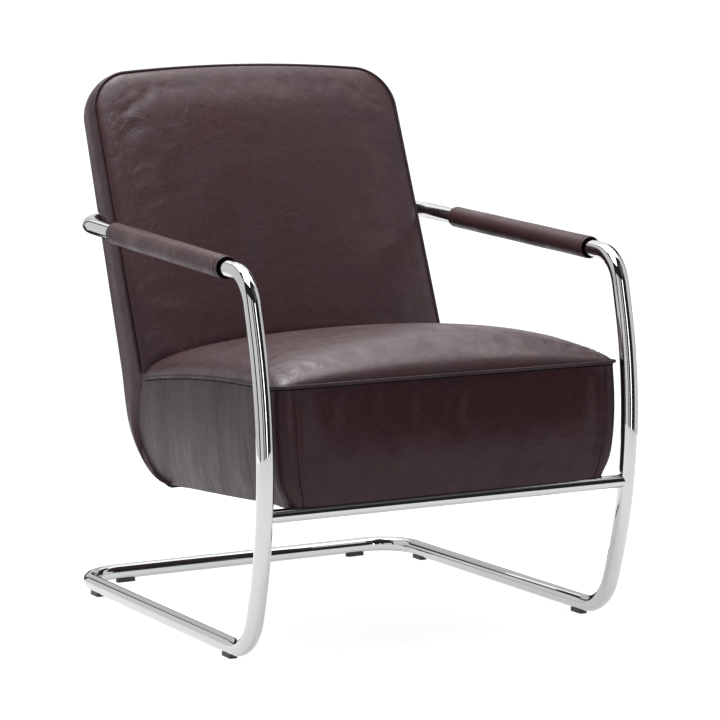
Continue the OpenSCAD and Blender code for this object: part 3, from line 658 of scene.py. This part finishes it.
# Outer back and the lining under it
REAR_INSET = 8  # how much narrower the outer back is than the shell, on each side
HEEL_LINED = 0.13  # the share of the rear face, from below, that the lining covers
HEEL_ROWS, REAR_ROWS, REAR_HALF = 24, 60, 24  # rows round the heel and above it, columns on each side
EDGE_ROUND, EDGE_T = 9, 0.35  # width of its rounded edges, and the share of its thickness left there
TOP_STEP, FOOT_STEP = 0.3, 0.5  # the share of that round which each row at the top and at the foot takes
EDGE_LEAST = 0.001
TOP_SHORT = 0.5  # how far the panel ends below the shell's top
LINING_UNDER = ((60, 1.2), (30, 1.6), (12, 3.4))  # distances from the heel under the seat, and thicknesses
LINING_T, LINING_THIN = 5.4, 2.0  # thickness on the heel, and how much thinner it ends under the outer back
LINING_ROWS, LINING_COLUMNS = 12, 9


def rear_width(p):
    return HB * drawn(HB, p) - REAR_INSET


def heel_lining():
    """The black lining comes round the heel's lower end and stops at the outer back."""
    rows = [(HEEL_LOW - UNDER * d, -UNDER_UP, t) for d, t in LINING_UNDER]
    rows += [(heel_at(f), -heel_in(f), LINING_T - LINING_THIN * (f / HEEL_LINED) ** 2)
             for f in np.linspace(0, HEEL_LINED, LINING_ROWS)]
    rings = []
    for p, n, t in rows:
        w = rear_width(p) + REAR_INSET
        rings.append([np.array([x, *p]) for x in np.linspace(-w, w, LINING_COLUMNS)]
                     + [np.array([x, *(p + n * t)]) for x in np.linspace(w, -w, LINING_COLUMNS)])
    return loft("heel_lining", rings)


def rear_panel():
    """The outer back: a leather panel over the rear face and round the heel, thin along its edges."""
    low = (HEEL_HIGH - rear_pt) @ REAR_UP
    high = BACK_RISE - top_drop(0)
    heel = np.linspace(HEEL_LINED, HEEL_LEN / REAR_RUN, HEEL_ROWS + 1)[:-1]
    rows = [(heel_at(f), -heel_in(f)) for f in heel]
    rows += [(rear_pt + REAR_UP * s, -REAR_IN) for s in np.linspace(low, high, REAR_ROWS)]
    columns = [-u for u in reversed(eased(REAR_HALF)[1:])] + eased(REAR_HALF)
    rings = []
    for i, (p, n) in enumerate(rows):
        w = rear_width(p)
        s = (p - rear_pt) @ REAR_UP
        inner, outer = [], []
        for u in columns:
            x = u * w
            q = p
            if i > HEEL_ROWS:
                limit = BACK_RISE - top_drop(x) - TOP_SHORT
                q = rear_pt + REAR_UP * (low + (s - low) * (limit - low) / (high - low))
            from_top = (len(rows) - 1 - i) * TOP_STEP + EDGE_LEAST
            from_foot = i * FOOT_STEP + EDGE_LEAST
            edge = min(1, (1 - abs(u)) * w / EDGE_ROUND, from_top, from_foot)
            t = OUTER_BACK_T * (EDGE_T + (1 - EDGE_T) * math.sqrt(max(0, 1 - (1 - edge) ** 2)))
            inner.append(np.array([x, *q]))
            outer.append(np.array([x, *(q + n * t)]))
        rings.append(inner + outer[::-1])
    return loft("rear_leather", rings, smooth_deg=50, dent=True)


rear_leather = rear_panel()
heel_black = heel_lining()

# Arm sleeves
ARM_DIR = heading(ARM)
ARM_START = PATH[ARM] + ARM_DIR * (trim(ARM, ARM_BEND_R) + SLEEVE_GAP) + FRAME_AT
R0, R1 = TUBE_D / 2 + 0.15, SLEEVE_D / 2  # the sleeve's bore, just off the tube, and its outside
SLEEVE_SIDES = 64
HEM_AT = 7.2  # where the hem's stitches lie, from the sleeve's front end
HEM_FOLD = ((6, -1.9), (0.8, -1.6), (0, -1.1), (0, -0.6), (0.6, -0.15), (2, 0), (8.6, -0.1), (9.4, -0.75),
            (10.4, -0.1))  # distances from that end, and heights over the outside
HEM_INSIDE = (9, R0 + 3.2)  # where its leather ends inside, as a distance and a radius
WAVE_DEPTH, WAVE_TURN = 0.25, 0.021  # depth of the leather's waves, and radians per millimetre
WAVES_FRONT, WAVES_REAR, WAVE_ROWS = 14, 12, 60  # how far from the two ends they run, and in how many rows
REAR_ROLL, REAR_POWER = 6.5, 0.8  # length of the rolled rear end, and how full it is
REAR_TURN = np.linspace(0.15, math.pi / 2 - 0.02, 12)
PAD_PROFILE = ((7, R0), (7, R1 - 2.4), (8.5, R1 - 1.9), (60, R1 - 1.9), (60, R0))
STITCHES, THREAD_R, THREAD_SIDES = 30, 0.32, 6
THREAD_SINK, THREAD_RISE = 0.1, 0.25  # how deep a stitch's ends lie, and how much its middle rises from there
# A stitch's places, as shares of the pitch from its middle, and its radii there, as shares of the thread's
STITCH_SHAPE = ((-0.36, 0.3), (-0.22, 1.0), (0.0, 1.2), (0.22, 1.0), (0.36, 0.3))


def arm_axes(s):
    """The sleeve's front end on side s, the arm's direction, and two directions square to it."""
    mirror = np.array([s, 1, 1])
    d = ARM_DIR * mirror
    e = unit(np.cross(d, UP))
    return ARM_START * mirror, d, e, np.cross(d, e)


def around(s, profile, name):
    """A turned piece along the arm, from (distance, radius) pairs."""
    o, d, e, g = arm_axes(s)
    rings = [[o + d * along + (e * math.cos(w) + g * math.sin(w)) * r for w in circle(SLEEVE_SIDES)]
             for along, r in profile]
    return loft(name, rings, cap=False, smooth_deg=50)


def sleeve_profile():
    """From inside the front hem, along the outside with its slight waves, to the rolled rear end."""
    prof = [HEM_INSIDE] + [(a, R1 + h) for a, h in HEM_FOLD]
    prof += [(a, R1 - WAVE_DEPTH * math.sin(a * WAVE_TURN) ** 2)
             for a in np.linspace(WAVES_FRONT, SLEEVE_LEN - WAVES_REAR, WAVE_ROWS)]
    prof += [(SLEEVE_LEN - REAR_ROLL + REAR_ROLL * math.sin(w), R0 + (R1 - R0) * math.cos(w) ** REAR_POWER)
             for w in REAR_TURN]
    return prof


def hem_stitches(s, name):
    """A row of short stitches round the sleeve's hem."""
    o, d, e, g = arm_axes(s)
    o = o + d * HEM_AT
    n = THREAD_SIDES
    longest = STITCH_SHAPE[-1][0]
    verts, faces = [], []
    for k in range(STITCHES):
        base = len(verts)
        for t, r in STITCH_SHAPE:
            w = 2 * math.pi * (k + t) / STITCHES
            out = e * math.cos(w) + g * math.sin(w)
            c = o + out * (R1 - THREAD_SINK + THREAD_RISE * (1 - abs(t) / longest))
            verts += [c + (out * math.cos(v) + d * math.sin(v)) * THREAD_R * r for v in circle(n)]
        for i in range(len(STITCH_SHAPE) - 1):
            faces += band(base + n * i, n)
        last = base + n * (len(STITCH_SHAPE) - 1)
        faces += [tuple(base + j for j in range(n)), tuple(last + j for j in reversed(range(n)))]
    return add_mesh(name, verts, faces, 60)


sleeves, pads, stitches = [], [], []
for side, s in (("left", -1), ("right", 1)):
    sleeves.append(around(s, sleeve_profile(), "sleeve_" + side))
    stitches.append(hem_stitches(s, "hem_stitches_" + side))
    pads.append(around(s, PAD_PROFILE, "sleeve_pad_" + side))


# Materials
def fill(nt, n, inputs):
    """Sets a node's inputs: another node's output is linked, any other value is typed in."""
    for key, value in inputs.items():
        if hasattr(value, "is_output"):
            nt.links.new(value, n.inputs[key])
        else:
            n.inputs[key].default_value = value


def node(nt, kind, inputs=None, **settings):
    n = nt.nodes.new(kind)
    for key, value in settings.items():
        setattr(n, key, value)
    fill(nt, n, inputs or {})
    return n


def new_material(name):
    m = bpy.data.materials.new(name)
    m.use_nodes = True
    nt = m.node_tree
    return m, nt, nt.nodes["Principled BSDF"]


def coords(nt):
    return node(nt, "ShaderNodeTexCoord").outputs["Object"]


def stretch(nt, vector, scale):
    return node(nt, "ShaderNodeMapping", {"Vector": vector, "Scale": scale}).outputs["Vector"]


def noise(nt, vector, scale, detail, roughness=0.5, distortion=0.0):
    inputs = {"Vector": vector, "Scale": scale, "Detail": detail, "Roughness": roughness,
              "Distortion": distortion}
    return node(nt, "ShaderNodeTexNoise", inputs).outputs["Fac"]


def bump(nt, height, strength, distance, under=None):
    """Relief from a height, laid over another relief where one is given."""
    inputs = {"Strength": strength, "Distance": distance, "Height": height}
    if under is not None:
        inputs["Normal"] = under
    return node(nt, "ShaderNodeBump", inputs).outputs["Normal"]


def ramp(nt, fac, stops):
    n = nt.nodes.new("ShaderNodeValToRGB")
    el = n.color_ramp.elements
    while len(el) < len(stops):
        el.new(0.5)
    for e, (pos, colour) in zip(el, stops):
        e.position = pos
        e.color = (*colour, 1)
    nt.links.new(fac, n.inputs["Fac"])
    return n.outputs["Color"]


def grey(v):
    return (v, v, v)


TONE_STOPS = (0.36, 0.5, 0.66)  # where the dark, the middle and the light tone lie in the mottling


def leather_material(name, tones, streak=(1, 1, 1), rough=(0.30, 0.50), gloss=0.42):
    """Cloudy, flecked leather with a pebbled grain and creases, smoother where it is lighter."""
    m, nt, b = new_material(name)
    co = coords(nt)
    streaked = stretch(nt, co, streak)
    cloud = noise(nt, streaked, 11.0, 7.0, 0.64, 0.9)
    fleck = noise(nt, streaked, 75.0, 6.0, 0.72)
    both = node(nt, "ShaderNodeMix", {"Factor": 0.4, "A": cloud, "B": fleck}, data_type="FLOAT")
    tone = both.outputs["Result"]
    cells = node(nt, "ShaderNodeTexVoronoi", {"Vector": co, "Scale": 900.0}, feature="DISTANCE_TO_EDGE")
    pebble = ramp(nt, cells.outputs["Distance"], [(0.0, grey(0.0)), (0.18, grey(1.0))])
    grain = bump(nt, pebble, 0.12, 0.0004)
    pores = bump(nt, noise(nt, co, 420.0, 4.0), 0.25, 0.0006, grain)
    creases = bump(nt, noise(nt, streaked, 38.0, 4.0, distortion=0.7), 0.4, 0.003, pores)
    fill(nt, b, {"Base Color": ramp(nt, tone, list(zip(TONE_STOPS, tones))),
                 "Roughness": ramp(nt, tone, [(0.40, grey(rough[1])), (0.60, grey(rough[0]))]),
                 "Normal": creases,
                 "Specular IOR Level": gloss})
    return m


def plain_material(name, low, high, scale, rough, weave=None, more=None):
    """A tone that wanders between two colours, a roughness that goes with it, and a fine relief."""
    m, nt, b = new_material(name)
    co = coords(nt)
    fac = noise(nt, co, scale, 5.0)
    if weave:
        threads = node(nt, "ShaderNodeTexWave", {"Vector": co, "Scale": weave}, bands_direction="X")
        relief = bump(nt, threads.outputs["Fac"], 0.4, 0.0004)
    else:
        relief = bump(nt, noise(nt, co, scale * 6, 3.0), 0.25, 0.0004)
    fill(nt, b, {"Base Color": ramp(nt, fac, [(0.35, low), (0.65, high)]),
                 "Roughness": ramp(nt, fac, [(0.35, grey(rough[1])), (0.65, grey(rough[0]))]),
                 "Normal": relief,
                 **(more or {})})
    return m


# Dark, middle and light tone of each leather material; some are the seat's leather made darker or greyer, as
# painted shade and painted sheen
BROWN = ((0.0270, 0.0100, 0.0122), (0.0340, 0.0135, 0.0160), (0.0450, 0.0200, 0.0228))
# The back's tones: the seat's leather made darker, as painted shade
SHADED_BACK_BROWN = ((0.0225, 0.0080, 0.0100), (0.0285, 0.0106, 0.0130), (0.0380, 0.0160, 0.0187))
# The front's tones: the seat's leather made darker, as painted shade
SHADED_FRONT_BROWN = ((0.0220, 0.0085, 0.0102), (0.0270, 0.0110, 0.0130), (0.0340, 0.0148, 0.0172))
# The sides' tones: the seat's leather made greyer, as a painted sheen
SHEEN_SIDE_BROWN = ((0.0245, 0.0143, 0.0156), (0.0280, 0.0169, 0.0182), (0.0336, 0.0210, 0.0223))
CORD_BROWN = ((0.0130, 0.0052, 0.0064), (0.0190, 0.0082, 0.0100), (0.0270, 0.0130, 0.0152))

leather = leather_material("leather_brown", BROWN)
leather_back_painted_shade = leather_material("leather_back_painted_shade", SHADED_BACK_BROWN, gloss=0.28)
leather_front_painted_shade = leather_material("leather_front_painted_shade", SHADED_FRONT_BROWN, rough=(0.22, 0.34), gloss=0.15)
leather_arm = leather_material("leather_arm", BROWN, rough=(0.36, 0.55), gloss=0.26)
leather_side_painted_sheen = leather_material("leather_side_painted_sheen", SHEEN_SIDE_BROWN, (1, 1, 0.16), (0.36, 0.5), 0.16)
leather_cord = leather_material("leather_cord", CORD_BROWN, rough=(0.4, 0.6), gloss=0.25)

steel = plain_material("zinc_steel", (0.46, 0.47, 0.49), (0.60, 0.61, 0.63), 30.0, (0.26, 0.42),
                       more={"Metallic": 1.0})
plastic = plain_material("glide_plastic", grey(0.006), grey(0.010), 150.0, (0.45, 0.6))
dark_foam = plain_material("pad_foam", grey(0.005), grey(0.012), 200.0, (0.85, 0.95))
lining = plain_material("lining", (0.006, 0.006, 0.0065), (0.011, 0.011, 0.0115), 60.0, (0.88, 0.97),
                        weave=300.0, more={"Specular IOR Level": 0.1})
webbing = plain_material("webbing", (0.10, 0.08, 0.06), (0.14, 0.12, 0.10), 80.0, (0.7, 0.85))
foam = plain_material("foam", (0.70, 0.60, 0.36), (0.80, 0.70, 0.45), 120.0, (0.85, 0.95))

chrome, nt, b = new_material("chrome")
co = coords(nt)
fill(nt, b, {"Base Color": (0.47, 0.47, 0.472, 1),
             "Metallic": 1.0,
             "Roughness": ramp(nt, noise(nt, co, 16.0, 5.0), [(0.35, grey(0.025)), (0.7, grey(0.06))]),
             "Normal": bump(nt, noise(nt, co, 40.0, 2.0), 0.03, 0.001)})

wood, nt, b = new_material("plywood")
year_rings = noise(nt, stretch(nt, coords(nt), (1, 6, 1)), 14.0, 5.0)
fill(nt, b, {"Base Color": ramp(nt, year_rings, [(0.3, (0.42, 0.27, 0.14)), (0.7, (0.62, 0.44, 0.26))]),
             "Roughness": 0.6})

BY_SLOT = {"chrome": chrome, "steel": steel, "glide": plastic, "padding": dark_foam, "leather": leather,
           "piping": leather_cord, "foam": foam, "wood": wood, "strap": webbing, "lining": lining}
for part in frame["record"]["subparts"]:
    for slot in frame["nodes"][part["node"]].material_slots:
        slot.material = BY_SLOT[part["material_slot"]]


def dress(ob, mat, slot_name, *nodes):
    ob.data.materials.clear()
    ob.data.materials.append(mat)
    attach(ob, "root")
    if nodes:
        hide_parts(*nodes)


dress(seat, leather, "leather", "seat_cover", "seat_foam")
# The seat's sides and front take copies of its leather: the front's darker, as painted shade, the sides'
# greyer, as a painted sheen
ON_SIDE, ON_FRONT = 1, 2
for mat in (leather_side_painted_sheen, leather_front_painted_shade):
    seat.data.materials.append(mat)
for i, face in enumerate(seat.data.polygons):
    ring, point = divmod(i, RING_N)
    if ring < len(PILLOW) or ring >= len(seat_rings) - 1 - len(PILLOW):
        face.material_index = ON_SIDE
    elif point < FRONT_N - 1:
        face.material_index = ON_FRONT
# The back and the outer back take the darker copy of the leather: painted shade
dress(back, leather_back_painted_shade, "leather", "back_cover", "back_foam")
dress(seat_cord, leather_cord, "piping", "seat_piping")
# The painted shadow line takes the black lining's material
dress(seat_shadow_line, lining, "lining")
dress(back_cord, leather_cord, "piping", "back_piping")
dress(rear_leather, leather_back_painted_shade, "leather", "outer_back")
dress(heel_black, lining, "lining")
for i, side in enumerate(("left", "right")):
    dress(sleeves[i], leather_arm, "leather", "arm_cover_" + side)
    dress(stitches[i], leather_cord, "piping")
    dress(pads[i], dark_foam, "padding", "arm_padding_" + side)

# Camera: its place, turn and focal length come from a fit to the tube's outlines
AZ, EL, ROLL = math.radians(-27.103), math.radians(6.560), math.radians(-0.945)
FOCAL_PX, FRAME_PX, SENSOR = 2675.44, 720, 36
CAMERA_AT = Vector((-1849.71, -4063.46 + REAR_Y, 846.64 + TUBE_Z)) * MM
towards = Vector((math.sin(AZ) * math.cos(EL), -math.cos(AZ) * math.cos(EL), math.sin(EL)))
level_x = (-towards).cross(Vector((0, 0, 1))).normalized()
level_y = level_x.cross(-towards)
right = level_x * math.cos(ROLL) + level_y * math.sin(ROLL)
up = level_y * math.cos(ROLL) - level_x * math.sin(ROLL)
cam_data = bpy.data.cameras.new("camera")
cam_data.sensor_width = SENSOR
cam_data.lens = FOCAL_PX / FRAME_PX * SENSOR
cam_data.clip_end = 60
cam = bpy.data.objects.new("camera", cam_data)
bpy.context.scene.collection.objects.link(cam)
cam.matrix_world = Matrix.Translation(CAMERA_AT) @ Matrix((right, up, towards)).transposed().to_4x4()
bpy.context.scene.camera = cam


# Studio: a pale floor with the chair on it, and round both a white sweep that only the camera sees
def stage_material(name, diffuse, glow):
    m, nt, b = new_material(name)
    fill(nt, b, {"Base Color": (*grey(diffuse), 1), "Roughness": 0.9, "Specular IOR Level": 0.0,
                 "Emission Color": (1, 1, 1, 1), "Emission Strength": glow})
    return m


def disc(name, radius, z, rim, steps=96):
    """A disc, with a rim of (share of the radius, height) pairs, in metres."""
    verts = [np.array([0, 0, z]) / MM]
    for r, h in rim:
        verts += [np.array([r * radius * math.cos(w), r * radius * math.sin(w), z + h]) / MM
                  for w in circle(steps)]
    faces = [(0, 1 + i, 1 + (i + 1) % steps) for i in range(steps)]
    for k in range(len(rim) - 1):
        faces += band(1 + k * steps, steps)
    return add_mesh(name, verts, faces)


FLOOR_R, SWEEP_R, SWEEP_Z = 1.9, 9.0, -0.002  # in metres
SWEEP_RIM = ((0.75, 0), (0.93, 0.3), (1.0, 1.0), (1.0, 6.0), (0.6, 8.0), (0.01, 8.5))
floor = disc("floor", FLOOR_R, 0, [(1, 0)])
floor.data.materials.append(stage_material("studio_floor", 0.35, 0.88))
sweep = disc("sweep", SWEEP_R, SWEEP_Z, SWEEP_RIM)
sweep.data.materials.append(stage_material("studio_sweep", 0.0, 1.15))
for ray in ("visible_glossy", "visible_diffuse", "visible_shadow", "visible_transmission"):
    setattr(sweep, ray, False)


def by_camera(right_m, back_m, z):
    """A place given to the right of and behind the chair's middle, as the camera sees it."""
    c, s = math.cos(AZ), math.sin(AZ)
    return Vector((right_m * c - back_m * s, right_m * s + back_m * c, z))


def area(name, where, look, size, radiance):
    data = bpy.data.lights.new(name, "AREA")
    data.shape = "RECTANGLE"
    data.size, data.size_y = size
    data.energy = radiance * math.pi * size[0] * size[1]
    ob = bpy.data.objects.new(name, data)
    bpy.context.scene.collection.objects.link(ob)
    ob.location = where
    ob.rotation_euler = (look - where).to_track_quat("-Z", "Y").to_euler()
    ob.visible_camera = False


# Each light's name, place, aim, width and height in metres, and radiance
LIGHTS = (
    ("left_panel", (-1.7, 0.3, 1.0), (0, 0.3, 0.9), (2.9, 2.5), 1.05),
    ("right_panel", (1.9, 0.45, 1.0), (0, 0.45, 0.9), (2.1, 2.5), 1.05),
    ("rear_panel", (-0.4, 2.7, 1.15), (-0.1, 0.0, 0.5), (3.0, 1.3), 0.8),
    ("rear_high", (-0.3, 2.5, 2.3), (0, 0.0, 0.45), (3.0, 1.0), 1.6),
    ("sky_panel", (-0.3, 1.0, 2.8), (-0.3, 0.9, 0.4), (3.0, 2.2), 2.3),
    ("key_top", (-0.3, -0.75, 2.6), (-0.2, -0.5, 0.4), (1.5, 1.5), 6.5),
    ("key_back", (-0.5, 0.4, 2.6), (-0.4, 0.3, 0.8), (0.9, 0.9), 17.0),
    ("key_right", (1.1, 0.4, 2.45), (0.0, -0.1, 0.45), (1.2, 1.2), 2.6),
    ("front_top", (1.9, -1.35, 2.4), (0, 0, 0.6), (1.8, 1.4), 0.12),
    ("front_left", (-1.5, -2.7, 0.85), (0, 0, 0.85), (1.9, 2.3), 1.15),
    ("front_strip", (0.1, -3.1, 0.85), (0, 0, 0.85), (0.5, 2.3), 1.0),
    ("front_edge", (1.6, -2.84, 0.85), (0, 0, 0.85), (0.32, 2.3), 6.0),
)
for name, place, aim, size, radiance in LIGHTS:
    area(name, by_camera(*place), by_camera(*aim), size, radiance)

world = bpy.data.worlds.new("studio")
bpy.context.scene.world = world
world.use_nodes = True
background = world.node_tree.nodes["Background"]
fill(world.node_tree, background, {"Color": (1, 1, 1, 1), "Strength": 0.03})
bpy.context.scene.view_settings.view_transform = "Standard"
